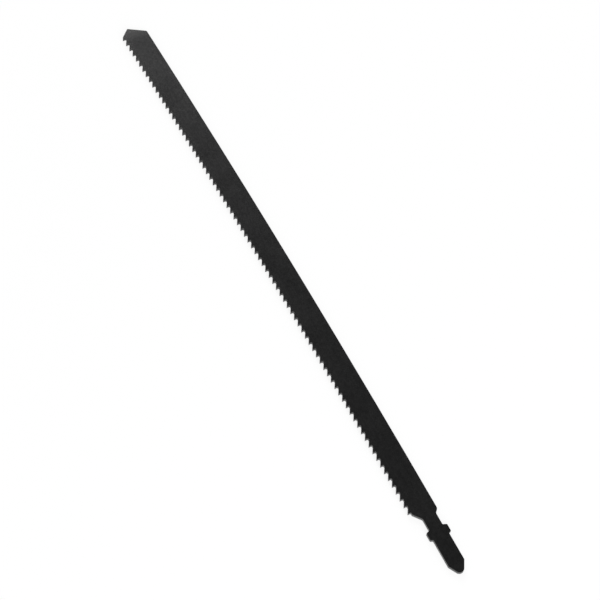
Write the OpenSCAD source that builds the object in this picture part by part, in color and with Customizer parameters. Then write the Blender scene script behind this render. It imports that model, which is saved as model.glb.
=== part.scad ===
// Long T-shank jigsaw blade: one flat steel strip with a cambered body,
// a row of square-faced saw teeth, a clipped point and a lugged shank.
// X runs from the point to the shank, the teeth face -Y, and the strip lies on Z = 0.

/* [Strip] */
// Thickness of the steel strip
strip_t = 1.45; // [0.9:0.05:2]
// Width of the body, from its back edge to the tooth tips
body_w = 9.95; // [9:0.05:14]
// Camber: rise of the body's middle towards its back, over the row of teeth
bow = 1.15; // [0:0.05:3]

/* [Teeth] */
// Number of teeth
tooth_count = 81; // [21:1:101]
// Spacing from one tooth tip to the next
tooth_pitch = 2.75; // [2.5:0.05:5]
// Depth of the gullets below the tooth tips
tooth_h = 1.2; // [0.6:0.05:1.35]
// Slope of each tooth's back against the length of the blade
tooth_back_angle = 30; // [27:1:45]
// Lean of each cutting face away from square, towards the shank
tooth_face_angle = 0; // [-5:1:12]
// Radius in the corners of each gullet
gullet_r = 0.3; // [0.1:0.05:0.5]

/* [Point] */
// Reach of the point beyond the first tooth tip
point_l = 3.6; // [2.5:0.1:8]
// Drop of the point below the back edge
point_drop = 6.3; // [4:0.05:8]
// Slope of the long clipped edge between the point and the back
point_angle = 56.5; // [35:0.5:75]
// Height of the first tooth's back, where the short clipped edge ends
first_back_h = 0.45; // [0.2:0.05:0.9]
// Radius of the point
point_r = 0.35; // [0.1:0.05:1]
// Radius where the long clipped edge meets the back
point_back_r = 0.7; // [0.2:0.1:2]

/* [Shoulders] */
// Flat stretch from the last tooth tip to the front shoulder
heel_l = 0.85; // [0.6:0.05:4]
// Slope of the shoulder on the toothed side
front_shoulder_angle = 39; // [25:1:60]
// Slope of the shoulder on the back
back_shoulder_angle = 41.5; // [30:0.5:60]
// Radius where the back turns into its shoulder
shoulder_r = 1.3; // [0.4:0.1:1.5]
// Radius where the shoulders run into the neck
neck_r = 0.6; // [0.2:0.1:0.8]

/* [Shank] */
// Drop of the shank's centre line below the back edge
shank_drop = 3.8; // [3.4:0.05:4.6]
// Width of the neck
neck_w = 5.1; // [4:0.05:5.6]
// Length of the neck, from the shoulders to the lugs
neck_l = 4.45; // [3:0.05:8]
// Width across both lugs
lug_w = 7.95; // [7.2:0.05:8.6]
// Length of the lugs along their outer edges
lug_l = 2.75; // [1.5:0.05:5]
// Slope of the lugs' flanks against the shank's axis
lug_angle = 70; // [55:1:85]
// Radius of the lugs' outer corners
lug_r = 0.45; // [0.2:0.05:0.6]
// Radius at the foot of the lugs
lug_root_r = 0.4; // [0.2:0.05:0.6]
// Width of the tail that the clamp holds
tail_w = 6; // [5:0.05:6.4]
// Length of the tail's parallel stretch
tail_l = 10.25; // [6:0.05:14]
// Slope of each side of the tail's end against its axis
tail_angle = 30; // [20:1:45]
// Radius where the tail's sides turn into its end
tail_corner_r = 0.3; // [0.1:0.1:1.5]
// Radius of the nose that ends the tail
nose_r = 1.6; // [0.5:0.1:2.5]

/* [Hidden] */

// Turn of each facet that a rounded corner is made of
facet_turn = 15;
// Longest straight facet of the cambered back edge
back_facet_l = 5.5;

// Row of teeth: its length, the ends of it and the levels of tips and gullets below the back edge
run = (tooth_count - 1) * tooth_pitch;
first_x = -run / 2;
last_x = run / 2;
tip_y = -body_w;
gullet_y = tip_y + tooth_h;
face_reach = tooth_h * tan(tooth_face_angle);
back_reach = tooth_h / tan(tooth_back_angle);

// Point: its place, the end of its short edge and the end of its long edge
point_x = first_x - point_l;
clip_x = first_x - first_back_h / tan(tooth_back_angle);
back_start_x = point_x + point_drop / tan(point_angle);

// Shank: its stations along the length, each worked out from the one before
heel_x = last_x + heel_l;
neck_x = heel_x + (gullet_y + shank_drop + neck_w / 2) / -tan(front_shoulder_angle);
back_end_x = neck_x - (shank_drop - neck_w / 2) / tan(back_shoulder_angle);
lug_x = neck_x + neck_l;
lug_start_x = lug_x + (lug_w - neck_w) / 2 / tan(lug_angle);
lug_end_x = lug_start_x + lug_l;
tail_x = lug_end_x + (lug_w - tail_w) / 2 / tan(lug_angle);
tail_end_x = tail_x + tail_l;
nose_x = tail_end_x + tail_w / 2 / tan(tail_angle);

// Corners of the straight blade, each as [x, y, radius], clockwise from the point

// One side of the shank, from the neck to the tail: side is 1 at the back and -1 at the front
function shank_side(side) = [
    [neck_x, side * neck_w / 2 - shank_drop, neck_r],
    [lug_x, side * neck_w / 2 - shank_drop, lug_root_r],
    [lug_start_x, side * lug_w / 2 - shank_drop, lug_r],
    [lug_end_x, side * lug_w / 2 - shank_drop, lug_r],
    [tail_x, side * tail_w / 2 - shank_drop, lug_root_r],
    [tail_end_x, side * tail_w / 2 - shank_drop, tail_corner_r],
];

// The tooth whose tip is at x: the foot of its face, its tip and the foot of its back
function tooth(x) = [
    [x + face_reach, gullet_y, gullet_r],
    [x, tip_y, 0],
    [x - back_reach, gullet_y, gullet_r],
];

// The first tooth, whose back is cut short by the point
function first_tooth() = [
    [first_x + face_reach, gullet_y, gullet_r],
    [first_x, tip_y, 0],
    [clip_x, tip_y + first_back_h, 0],
];

function reversed(list) = [for (k = [len(list) - 1:-1:0]) list[k]];

corners = concat(
    [[point_x, -point_drop, point_r]],
    [[back_start_x, 0, point_back_r]],
    [[back_end_x, 0, shoulder_r]],
    shank_side(1),
    [[nose_x, -shank_drop, nose_r]],
    reversed(shank_side(-1)),
    [[heel_x, gullet_y, gullet_r]],
    [for (k = [tooth_count - 1:-1:1]) each tooth(first_x + k * tooth_pitch)],
    first_tooth()
);

// Points of an arc of radius r that rounds the corner b between a and c
function rounded(a, b, c, r) =
    let (
        to_a = (a - b) / norm(a - b),
        to_c = (c - b) / norm(c - b),
        half = acos(to_a * to_c) / 2,
        middle = b + (to_a + to_c) / norm(to_a + to_c) * r / sin(half),
        spoke = b + to_a * r / tan(half) - middle,
        side = sign(cross(to_a, to_c)),
        turn = side * (2 * half - 180),
        steps = ceil(abs(turn) / facet_turn)
    )
    [
        for (k = [0:steps])
            let (angle = turn * k / steps)
            middle + [
                spoke.x * cos(angle) - spoke.y * sin(angle),
                spoke.x * sin(angle) + spoke.y * cos(angle),
            ]
    ];

function flat(corner) = [corner.x, corner.y];

function with_round_corners(list) = [
    for (k = [0:len(list) - 1])
        let (
            before = flat(list[(k + len(list) - 1) % len(list)]),
            here = flat(list[k]),
            after = flat(list[(k + 1) % len(list)]),
            r = list[k].z
        )
        each (r > 0 ? rounded(before, here, after, r) : [here])
];

// Points added along every stretch that is longer than a facet of the cambered back
function with_stations(list) = [
    for (k = [0:len(list) - 1])
        let (
            here = list[k],
            after = list[(k + 1) % len(list)],
            parts = ceil(norm(after - here) / back_facet_l)
        )
        for (j = [0:parts - 1]) here + (after - here) * j / parts
];

// Camber: the row of teeth and its back follow a curve, and both ends run on straight from it
bend = 8 * bow / (run * run);
function on_run(x) = max(first_x, min(last_x, x));
function lean(x) = -atan(bend * on_run(x));
function fall(x) = bend * on_run(x) * (x - on_run(x) / 2);
function cambered(p) = [
    p.x - p.y * sin(lean(p.x)),
    p.y * cos(lean(p.x)) - fall(p.x),
];

outline = [for (p = with_stations(with_round_corners(corners))) cambered(p)];

// Middle of the outline's box, which the origin lies under
outline_x = [for (p = outline) p.x];
outline_y = [for (p = outline) p.y];
middle_x = (min(outline_x) + max(outline_x)) / 2;
middle_y = (min(outline_y) + max(outline_y)) / 2;

module blade() {
    color([0.13, 0.13, 0.13])
        translate([-middle_x, -middle_y, 0])
            linear_extrude(height = strip_t)
                polygon(outline);
}

blade();
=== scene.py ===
"""A blackened T-shank saw blade lying flat on a white floor: its finish, its stage and its camera.

The file is laid out as an add-on and is run as a script. The blade's mesh is the frame's own
outline with its rims broken by a small bevel. All lengths are metres in the frame's axes: X runs
from the point to the shank, the teeth look along -Y, and the blade's underside lies on Z = 0.
"""

import math

import bmesh
import bpy
from bpy.props import (
    BoolProperty,
    FloatProperty,
    FloatVectorProperty,
    IntProperty,
    PointerProperty,
)
from mathutils import Matrix, Vector


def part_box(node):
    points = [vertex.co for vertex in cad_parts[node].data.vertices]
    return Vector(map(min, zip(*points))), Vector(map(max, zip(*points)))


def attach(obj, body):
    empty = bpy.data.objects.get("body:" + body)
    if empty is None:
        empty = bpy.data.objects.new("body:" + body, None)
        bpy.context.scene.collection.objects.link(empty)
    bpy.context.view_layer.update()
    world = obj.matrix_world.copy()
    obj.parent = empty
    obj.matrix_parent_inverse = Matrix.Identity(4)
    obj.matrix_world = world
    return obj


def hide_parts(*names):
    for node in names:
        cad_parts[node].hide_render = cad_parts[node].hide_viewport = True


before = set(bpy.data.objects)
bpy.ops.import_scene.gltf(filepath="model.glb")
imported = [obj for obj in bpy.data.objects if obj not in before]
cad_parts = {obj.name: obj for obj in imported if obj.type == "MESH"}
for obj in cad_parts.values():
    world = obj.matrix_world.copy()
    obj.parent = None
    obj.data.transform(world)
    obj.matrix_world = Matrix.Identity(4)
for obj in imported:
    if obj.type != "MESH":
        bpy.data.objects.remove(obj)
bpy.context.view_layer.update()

bl_info = {
    "name": "Blackened Saw Blade",
    "version": (1, 0, 0),
    "blender": (4, 5, 0),
    "location": "3D View > Sidebar > Saw Blade",
    "description": "Finishes the packed blade and sets up its floor, lamps and camera",
    "category": "Add Mesh",
}

BLADE_NODE = "blade"
BODY = "root"

# Two points closer than this are one corner of the outline.
MERGE_DISTANCE = 1e-6
# Two faces that turn less than this lie in one plane.
FLAT_ANGLE = math.radians(0.2)
# An edge that turns more than this stays crisp.
CRISP_ANGLE = math.radians(35)
# A face whose unit normal has more than this along Z is one of the blade's two broad faces.
BROAD_NORMAL = 0.99

# Height of the blade's underside, which the floor is laid under.
BLADE_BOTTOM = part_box(BLADE_NODE)[0].z


# The settings that a user would change


class BladeSettings(bpy.types.PropertyGroup):
    """The finish of the blade"""

    edge_break: FloatProperty(
        name="Edge break",
        description="Width of the small break along the rims of both broad faces",
        default=0.00006,
        min=0.00002,
        max=0.00012,
        precision=5,
        unit="LENGTH",
    )
    edge_segments: IntProperty(
        name="Edge segments",
        description="Number of strips across the edge break",
        default=2,
        min=1,
        max=4,
    )
    oxide_deep: FloatVectorProperty(
        name="Deep oxide",
        description="Colour of the black oxide where it is thickest",
        default=(0.0159, 0.0159, 0.0164),
        min=0,
        max=1,
        size=3,
        subtype="COLOR",
    )
    oxide_thin: FloatVectorProperty(
        name="Thin oxide",
        description="Colour of the black oxide where it is thinnest",
        default=(0.0518, 0.0516, 0.0516),
        min=0,
        max=1,
        size=3,
        subtype="COLOR",
    )
    # Colour at the very point: partly rubbed oxide, partly a painted sheen that lightens the point.
    oxide_rubbed_and_sheen: FloatVectorProperty(
        name="Rubbed oxide",
        description="Colour of the black oxide at the very point, where it is rubbed",
        default=(0.06, 0.0597, 0.0595),
        min=0,
        max=1,
        size=3,
        subtype="COLOR",
    )
    cut_side: FloatVectorProperty(
        name="Cut side",
        description="Colour of the stamped and milled sides, whose oxide is thinner",
        default=(0.08, 0.0795, 0.079),
        min=0,
        max=1,
        size=3,
        subtype="COLOR",
    )
    satin: FloatProperty(
        name="Satin",
        description="Mean roughness of the oxide",
        default=0.33,
        min=0.2,
        max=0.8,
        subtype="FACTOR",
    )
    grain_height: FloatProperty(
        name="Grain height",
        description="Depth of the fine grain and of the rolling streaks",
        default=0.000012,
        min=0,
        max=0.00005,
        precision=6,
        unit="LENGTH",
    )


class StageSettings(bpy.types.PropertyGroup):
    """The floor, the lamps and the camera"""

    floor_size: FloatProperty(
        name="Floor size",
        description="Length of the square floor's side",
        default=8.0,
        min=1.0,
        unit="LENGTH",
    )
    floor_colour: FloatVectorProperty(
        name="Floor colour",
        description="Colour of the white floor",
        default=(0.98, 0.98, 0.98),
        min=0,
        max=1,
        size=3,
        subtype="COLOR",
    )
    floor_glow: FloatProperty(
        name="Floor glow",
        description="Share of plain white in the floor as it is seen, against its lit colour",
        default=0.85,
        min=0,
        max=1,
        subtype="FACTOR",
    )
    far_box_power: FloatProperty(
        name="Far box power",
        description="Power of the soft box beyond the point, which shows in the blade's face",
        default=12.5,
        min=0,
        unit="POWER",
    )
    near_box_power: FloatProperty(
        name="Near box power",
        description="Power of the soft box beyond the shank, which lights the sides",
        default=9.5,
        min=0,
        unit="POWER",
    )
    room_level: FloatProperty(
        name="Room level",
        description="Brightness of the room's walls, which multiplies the room's grey",
        default=1.08,
        min=0,
    )
    ceiling_level: FloatProperty(
        name="Ceiling level",
        description="Brightness of the room's ceiling, which multiplies the room's grey",
        default=0.4,
        min=0,
    )
    show_floor: BoolProperty(
        name="Floor",
        description="Whether the floor is laid under the blade",
        default=True,
    )


# Node expressions

# Every noise has this many finer layers, and each layer has this share of the one before.
NOISE_DETAIL = 3
NOISE_ROUGHNESS = 0.6
# The middle of a noise's values, and of a pattern's.
NOISE_MIDDLE = 0.5
# How strongly a relief is shaded.
BUMP_STRENGTH = 0.6
# Sockets that share their names with others, by number: the two colours of a Mix node and the
# colour that comes out of it, and the factor and the two shaders of a Mix Shader.
MIX_FIRST, MIX_SECOND, MIX_RESULT = 6, 7, 2
SHADER_FACTOR, SHADER_FIRST, SHADER_SECOND = 0, 1, 2


class Wire:
    """One output socket. Its operators add Math nodes, and node() adds any other node."""

    def __init__(self, tree, socket=None):
        self.tree = tree
        self.socket = socket

    def node(self, kind, settings=None, sockets=None, output=0):
        """Adds a node: first its settings, then its sockets' values or links."""
        made = self.tree.nodes.new(kind)
        for name, value in (settings or {}).items():
            setattr(made, name, value)
        for name, value in (sockets or {}).items():
            if isinstance(value, Wire):
                self.tree.links.new(value.socket, made.inputs[name])
            else:
                made.inputs[name].default_value = value
        return Wire(self.tree, made.outputs[output] if made.outputs else None)

    def math(self, operation, first, second):
        """Adds a Math node that works on two values."""
        return self.node("ShaderNodeMath", {"operation": operation}, {0: first, 1: second})

    def __add__(self, other):
        return self.math("ADD", self, other)

    def __radd__(self, other):
        return self.math("ADD", other, self)

    def __sub__(self, other):
        return self.math("SUBTRACT", self, other)

    def __rsub__(self, other):
        return self.math("SUBTRACT", other, self)

    def __mul__(self, other):
        return self.math("MULTIPLY", self, other)

    def __rmul__(self, other):
        return self.math("MULTIPLY", other, self)

    def between(self, low, high):
        """0 where the value is at low, 1 where it is at high, eased in between."""
        return self.node(
            "ShaderNodeMapRange",
            {"interpolation_type": "SMOOTHSTEP"},
            {"Value": self, "From Min": low, "From Max": high},
        )

    def mixed(self, first, second):
        """The first colour where this value is 0, the second where it is 1."""
        return self.node(
            "ShaderNodeMix",
            {"data_type": "RGBA"},
            {"Factor": self, MIX_FIRST: first, MIX_SECOND: second},
            output=MIX_RESULT,
        )


def new_material(name):
    """An empty material and a Wire to build it with."""
    material = bpy.data.materials.new(name)
    material.use_nodes = True
    material.node_tree.nodes.clear()
    return material, Wire(material.node_tree)


def noise_on(nodes, places, scale):
    """Noise with a number of features per metre, from 0 to 1."""
    return nodes.node(
        "ShaderNodeTexNoise",
        None,
        {"Vector": places, "Scale": scale, "Detail": NOISE_DETAIL, "Roughness": NOISE_ROUGHNESS},
    )


def raised(nodes, relief, height):
    """The surface's normals with a relief from 0 to 1 raised to a height."""
    return nodes.node(
        "ShaderNodeBump",
        None,
        {"Strength": BUMP_STRENGTH, "Distance": height, "Height": relief},
    )


def opaque(colour):
    """A colour property with its alpha, as a node's socket takes it."""
    return (*colour, 1.0)


# The blade's finish

# Features per metre of each pattern in the oxide.
CLOUDS = 90
MOTTLING = 650
STREAKS = 1800
GRAIN = 2600
SIDE_CLOUDS = 160
SIDE_MARKS = 5200
# How the rolled streaks are drawn out along the strip, and the sides' marks through its thickness.
STREAK_STRETCH = (0.03, 1, 1)
MARK_STRETCH = (1, 1, 0.08)
# The stretch of each noise's values over which a pattern runs from 0 to 1.
SOFT_RANGE = (0.3, 0.7)
STREAK_RANGE = (0.25, 0.75)
# How much each pattern counts in how thin the broad faces' oxide looks.
CLOUDS_IN_TONE = 0.1
MOTTLING_IN_TONE = 0.2
STREAKS_IN_TONE = 0.1
GRAIN_IN_TONE = 0.6
# How much the clouds count in how thin the sides' oxide looks. The rest of it is marks.
SIDE_CLOUDS_IN_TONE = 0.5
# Where along X the oxide starts to be rubbed thin towards the point, and where it is thinnest. The
# lighter colour there is partly this wear and partly a painted sheen.
POINT_WEAR_AND_SHEEN = (-0.1165, -0.125)
# How much the grain and the clouds change the roughness, and the marks that of the sides.
GRAIN_IN_ROUGHNESS = 0.16
CLOUDS_IN_ROUGHNESS = 0.03
MARKS_IN_ROUGHNESS = 0.2
# How much of the broad faces' relief is grain. The rest of it is streaks.
GRAIN_IN_RELIEF = 0.6
# The porous oxide stays dark at low angles too, so its edge tint is lower than a bare metal's.
LOW_ANGLE_TINT = (0.6, 0.6, 0.6, 1.0)
# The sides' thin oxide shines partly as bare paint does, so it is only part metal.
SIDE_METAL = 0.4


def blackened_steel(settings):
    """Satin black oxide: mottled, lighter at the point from rubbing and a painted sheen, with faint
    rolled streaks and fine grain.
    """
    material, nodes = new_material("blackened_steel")
    places = nodes.node("ShaderNodeTexCoord", output="Object")
    along = nodes.node("ShaderNodeSeparateXYZ", None, {"Vector": places}, output="X")
    along_strip = nodes.node(
        "ShaderNodeMapping", None, {"Vector": places, "Scale": STREAK_STRETCH}
    )
    clouds = noise_on(nodes, places, CLOUDS).between(*SOFT_RANGE)
    mottling = noise_on(nodes, places, MOTTLING).between(*SOFT_RANGE)
    streaks = noise_on(nodes, along_strip, STREAKS).between(*STREAK_RANGE)
    grain = noise_on(nodes, places, GRAIN)
    thinness = (
        clouds * CLOUDS_IN_TONE
        + mottling * MOTTLING_IN_TONE
        + streaks * STREAKS_IN_TONE
        + grain * GRAIN_IN_TONE
    )
    even = thinness.mixed(opaque(settings.oxide_deep), opaque(settings.oxide_thin))
    # Lighter towards the point: partly rubbed oxide, partly a painted sheen.
    point_wear_and_sheen = along.between(*POINT_WEAR_AND_SHEEN)
    roughness = (
        settings.satin
        + (grain - NOISE_MIDDLE) * GRAIN_IN_ROUGHNESS
        + (clouds - NOISE_MIDDLE) * CLOUDS_IN_ROUGHNESS
    )
    relief = grain * GRAIN_IN_RELIEF + streaks * (1 - GRAIN_IN_RELIEF)
    shader = nodes.node(
        "ShaderNodeBsdfPrincipled",
        None,
        {
            "Base Color": point_wear_and_sheen.mixed(even, opaque(settings.oxide_rubbed_and_sheen)),
            "Metallic": 1.0,
            "Specular Tint": LOW_ANGLE_TINT,
            "Roughness": roughness,
            "Normal": raised(nodes, relief, settings.grain_height),
        },
    )
    nodes.node("ShaderNodeOutputMaterial", None, {"Surface": shader})
    return material


def cut_steel(settings):
    """The thinner oxide of the sides and rims, with the marks the tools left across the strip."""
    material, nodes = new_material("cut_steel")
    places = nodes.node("ShaderNodeTexCoord", output="Object")
    across_strip = nodes.node(
        "ShaderNodeMapping", None, {"Vector": places, "Scale": MARK_STRETCH}
    )
    clouds = noise_on(nodes, places, SIDE_CLOUDS).between(*SOFT_RANGE)
    marks = noise_on(nodes, across_strip, SIDE_MARKS)
    thinness = clouds * SIDE_CLOUDS_IN_TONE + marks * (1 - SIDE_CLOUDS_IN_TONE)
    shader = nodes.node(
        "ShaderNodeBsdfPrincipled",
        None,
        {
            "Base Color": thinness.mixed(opaque(settings.oxide_thin), opaque(settings.cut_side)),
            "Metallic": SIDE_METAL,
            "Roughness": settings.satin + (marks - NOISE_MIDDLE) * MARKS_IN_ROUGHNESS,
            "Normal": raised(nodes, marks, settings.grain_height),
        },
    )
    nodes.node("ShaderNodeOutputMaterial", None, {"Surface": shader})
    return material


# The blade's shape

# The blade's two materials, by their places in its mesh.
OXIDE_PLACE = 0
SIDE_PLACE = 1


def lies_broad(face):
    """Whether a face is one of the two broad faces of the strip."""
    return abs(face.normal.z) > BROAD_NORMAL


def clean_copy(node):
    """The node's loose triangles as a bmesh of whole faces that share their corners."""
    shape = bmesh.new()
    shape.from_mesh(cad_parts[node].data)
    bmesh.ops.remove_doubles(shape, verts=shape.verts, dist=MERGE_DISTANCE)
    bmesh.ops.dissolve_limit(
        shape, angle_limit=FLAT_ANGLE, verts=shape.verts, edges=shape.edges
    )
    shape.normal_update()
    return shape


def rim_edges(shape):
    """The edges where a broad face meets the strip's cut side."""
    return [
        edge
        for edge in shape.edges
        if len(edge.link_faces) == 2
        and lies_broad(edge.link_faces[0]) != lies_broad(edge.link_faces[1])
    ]


class SAWBLADE_OT_blade(bpy.types.Operator):
    """Makes the blade from the frame's outline, breaks its rims and gives it its finish"""

    bl_idname = "sawblade.blade"
    bl_label = "Blade"

    def execute(self, context):
        settings = context.scene.sawblade_blade
        shape = clean_copy(BLADE_NODE)
        rims = rim_edges(shape)
        if not rims:
            raise RuntimeError("the blade has no rims to break")
        broken = bmesh.ops.bevel(
            shape,
            geom=rims,
            offset=settings.edge_break,
            offset_type="OFFSET",
            segments=settings.edge_segments,
            profile=0.5,
            affect="EDGES",
            material=-1,
            clamp_overlap=True,
        )
        if not broken["faces"]:
            raise RuntimeError("the rims were not broken")
        for face in shape.faces:
            face.smooth = not lies_broad(face)
            face.material_index = SIDE_PLACE if face.smooth else OXIDE_PLACE
        for edge in shape.edges:
            edge.smooth = edge.calc_face_angle(math.pi) < CRISP_ANGLE
        mesh = bpy.data.meshes.new("saw_blade")
        shape.to_mesh(mesh)
        shape.free()
        mesh.materials.append(blackened_steel(settings))
        mesh.materials.append(cut_steel(settings))
        blade = bpy.data.objects.new("saw_blade", mesh)
        context.scene.collection.objects.link(blade)
        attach(blade, BODY)
        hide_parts(BLADE_NODE)
        return {"FINISHED"}


# The stage

# The floor lies this far under the blade, so that the two never share a plane.
FLOOR_GAP = 0.00002
# A pinhole camera fitted to the photograph: its place, its three axes, and its focal length in
# pixels of a picture of this width.
CAMERA_PLACE = (0.267495, -0.172065, 0.547501)
CAMERA_RIGHT = (0.473080, 0.879233, 0.056070)
CAMERA_UP = (-0.780246, 0.388562, 0.490139)
CAMERA_BACK = (0.409159, -0.275623, 0.869839)
FOCAL_PIXELS = 1772.0
PICTURE_WIDTH = 600
# Width of the camera's sensor in millimetres, as its lens is given.
SENSOR_WIDTH = 36.0
# The two soft boxes: where their middles are, what they look at and their sides.
FAR_BOX_PLACE = (-1.3, 0.42, 0.65)
FAR_BOX_TARGET = (-0.06, 0.0, 0.0)
NEAR_BOX_PLACE = (1.05, -0.15, 0.5)
NEAR_BOX_TARGET = (0.0, 0.0, 0.0)
SOFT_BOX_SIDES = (0.7, 0.9)
# The room's grey, which the levels of its walls and ceiling multiply.
ROOM_GREY = (0.8, 0.8, 0.8, 1.0)
# How high a direction points (0 at the horizon, 1 at the zenith) where the room's walls start to
# fade and where its ceiling is reached.
WALL_TOP = 0.45
CEILING_START = 0.84


def white_floor(settings):
    """A white floor that keeps a faint shadow, and is as white in reflections as in view."""
    material, nodes = new_material("white_floor")
    lit = nodes.node("ShaderNodeBsdfDiffuse", None, {"Color": opaque(settings.floor_colour)})
    plain = nodes.node("ShaderNodeEmission", None, {"Strength": 1.0})
    direct = nodes.node("ShaderNodeLightPath", output="Is Camera Ray")
    glossy = nodes.node("ShaderNodeLightPath", output="Is Glossy Ray")
    through = nodes.node("ShaderNodeLightPath", output="Is Transmission Ray")
    seen = (direct + glossy + through) * settings.floor_glow
    floor = nodes.node(
        "ShaderNodeMixShader",
        None,
        {SHADER_FACTOR: seen, SHADER_FIRST: lit, SHADER_SECOND: plain},
    )
    nodes.node("ShaderNodeOutputMaterial", None, {"Surface": floor})
    return material


class SAWBLADE_OT_stage(bpy.types.Operator):
    """Lays the floor, hangs the lamps and sets the camera at the photograph's view"""

    bl_idname = "sawblade.stage"
    bl_label = "Stage"

    def execute(self, context):
        settings = context.scene.sawblade_stage
        if settings.show_floor:
            self.lay_floor(context, settings)
        self.light_room(context, settings)
        for name, place, target, power in (
            ("far_box", FAR_BOX_PLACE, FAR_BOX_TARGET, settings.far_box_power),
            ("near_box", NEAR_BOX_PLACE, NEAR_BOX_TARGET, settings.near_box_power),
        ):
            self.hang_soft_box(context, name, place, target, power)
        self.set_camera(context)
        return {"FINISHED"}

    def lay_floor(self, context, settings):
        """A square floor just under the blade."""
        shape = bmesh.new()
        bmesh.ops.create_grid(shape, x_segments=1, y_segments=1, size=settings.floor_size / 2)
        drop = BLADE_BOTTOM - FLOOR_GAP
        bmesh.ops.translate(shape, verts=shape.verts, vec=(0, 0, drop))
        mesh = bpy.data.meshes.new("floor")
        shape.to_mesh(mesh)
        shape.free()
        mesh.materials.append(white_floor(settings))
        floor = bpy.data.objects.new("floor", mesh)
        context.scene.collection.objects.link(floor)

    def light_room(self, context, settings):
        """Bright walls that fade to a dimmer ceiling."""
        world = bpy.data.worlds.new("room")
        world.use_nodes = True
        world.node_tree.nodes.clear()
        nodes = Wire(world.node_tree)
        direction = nodes.node("ShaderNodeTexCoord", output="Generated")
        height = nodes.node("ShaderNodeSeparateXYZ", None, {"Vector": direction}, output="Z")
        ceiling = height.between(WALL_TOP, CEILING_START)
        level = settings.room_level + ceiling * (settings.ceiling_level - settings.room_level)
        light = nodes.node(
            "ShaderNodeBackground", None, {"Color": ROOM_GREY, "Strength": level}
        )
        nodes.node("ShaderNodeOutputWorld", None, {"Surface": light})
        context.scene.world = world

    def hang_soft_box(self, context, name, place, target, power):
        """One big soft lamp, turned to its target."""
        lamp = bpy.data.lights.new(name, "AREA")
        lamp.shape = "RECTANGLE"
        lamp.size, lamp.size_y = SOFT_BOX_SIDES
        lamp.energy = power
        box = bpy.data.objects.new(name, lamp)
        box.location = place
        aim = Vector(target) - Vector(place)
        box.rotation_euler = aim.to_track_quat("-Z", "Y").to_euler()
        context.scene.collection.objects.link(box)

    def set_camera(self, context):
        """The photograph's own camera."""
        lens = bpy.data.cameras.new("camera")
        lens.sensor_width = SENSOR_WIDTH
        lens.lens = FOCAL_PIXELS * SENSOR_WIDTH / PICTURE_WIDTH
        camera = bpy.data.objects.new("camera", lens)
        turn = Matrix((CAMERA_RIGHT, CAMERA_UP, CAMERA_BACK)).transposed()
        camera.matrix_world = Matrix.Translation(CAMERA_PLACE) @ turn.to_4x4()
        context.scene.collection.objects.link(camera)
        context.scene.camera = camera


# The panel and the run


class SAWBLADE_PT_panel(bpy.types.Panel):
    """Lists the blade's and the stage's settings with the button that makes each"""

    bl_idname = "SAWBLADE_PT_panel"
    bl_label = "Saw Blade"
    bl_space_type = "VIEW_3D"
    bl_region_type = "UI"
    bl_category = "Saw Blade"

    def draw(self, context):
        for operator, group in (
            (SAWBLADE_OT_blade, context.scene.sawblade_blade),
            (SAWBLADE_OT_stage, context.scene.sawblade_stage),
        ):
            box = self.layout.box()
            for name in group.__annotations__:
                box.prop(group, name)
            box.operator(operator.bl_idname)


CLASSES = (
    BladeSettings,
    StageSettings,
    SAWBLADE_OT_blade,
    SAWBLADE_OT_stage,
    SAWBLADE_PT_panel,
)


def register():
    """Registers the classes and gives every scene their settings."""
    for kind in CLASSES:
        bpy.utils.register_class(kind)
    bpy.types.Scene.sawblade_blade = PointerProperty(type=BladeSettings)
    bpy.types.Scene.sawblade_stage = PointerProperty(type=StageSettings)


def unregister():
    """Takes the settings and the classes away again."""
    del bpy.types.Scene.sawblade_stage
    del bpy.types.Scene.sawblade_blade
    for kind in reversed(CLASSES):
        bpy.utils.unregister_class(kind)


def main():
    """Makes the blade and the stage."""
    register()
    bpy.context.scene.view_settings.view_transform = "Standard"
    bpy.ops.sawblade.blade()
    bpy.ops.sawblade.stage()


if __name__ == "__main__":
    main()
